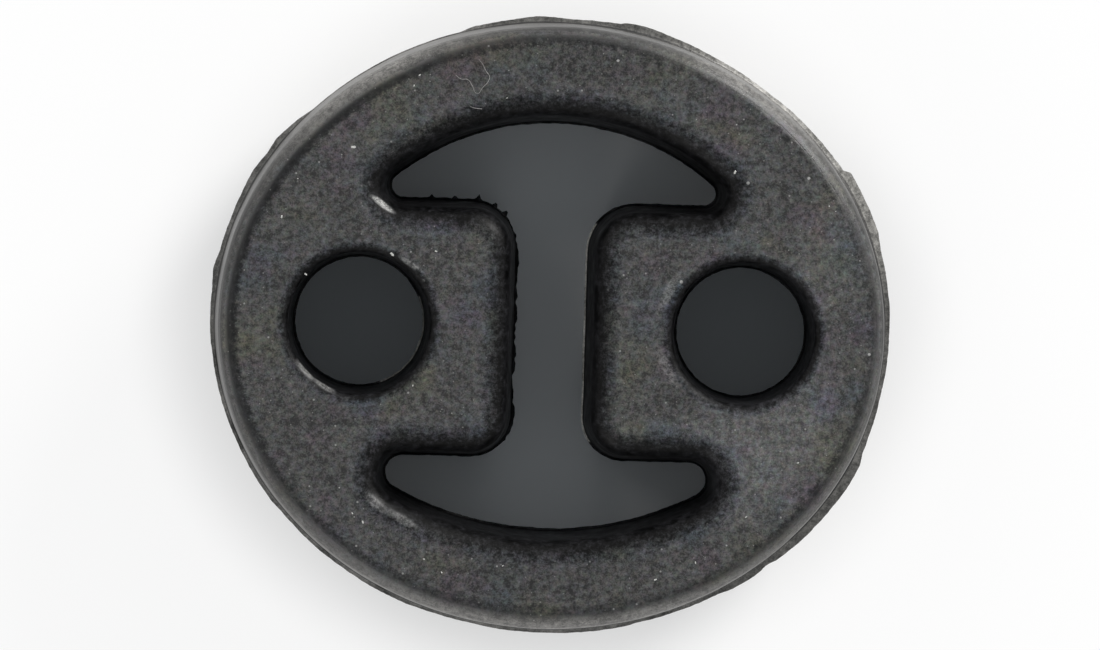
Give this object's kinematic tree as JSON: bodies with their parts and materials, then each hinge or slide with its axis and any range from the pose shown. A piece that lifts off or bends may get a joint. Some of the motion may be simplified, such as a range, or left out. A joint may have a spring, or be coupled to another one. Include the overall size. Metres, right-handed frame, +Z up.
{
  "type": "exhaust hanger",
  "caption": "Oval moulded rubber block that hangs an exhaust from a car: a round rod hole at each side and an I-shaped slot through its middle.",
  "frame": {"origin": "centre of the oval block on the flat face that it lies on", "axes": "+Z up through the thickness, +X along the line through both rod holes, which is also the longer way across the oval, +Y across it, towards the arm of the slot with the more strongly arched edge"},
  "size_m": [0.0641, 0.0582, 0.018],
  "materials": {
    "rubber": "matte, dusty and finely mottled on the faces, smoother on the rounded edges"
  },
  "bodies": {
    "root": {"hanger_body": "rubber"}
  },
  "joints": []
}
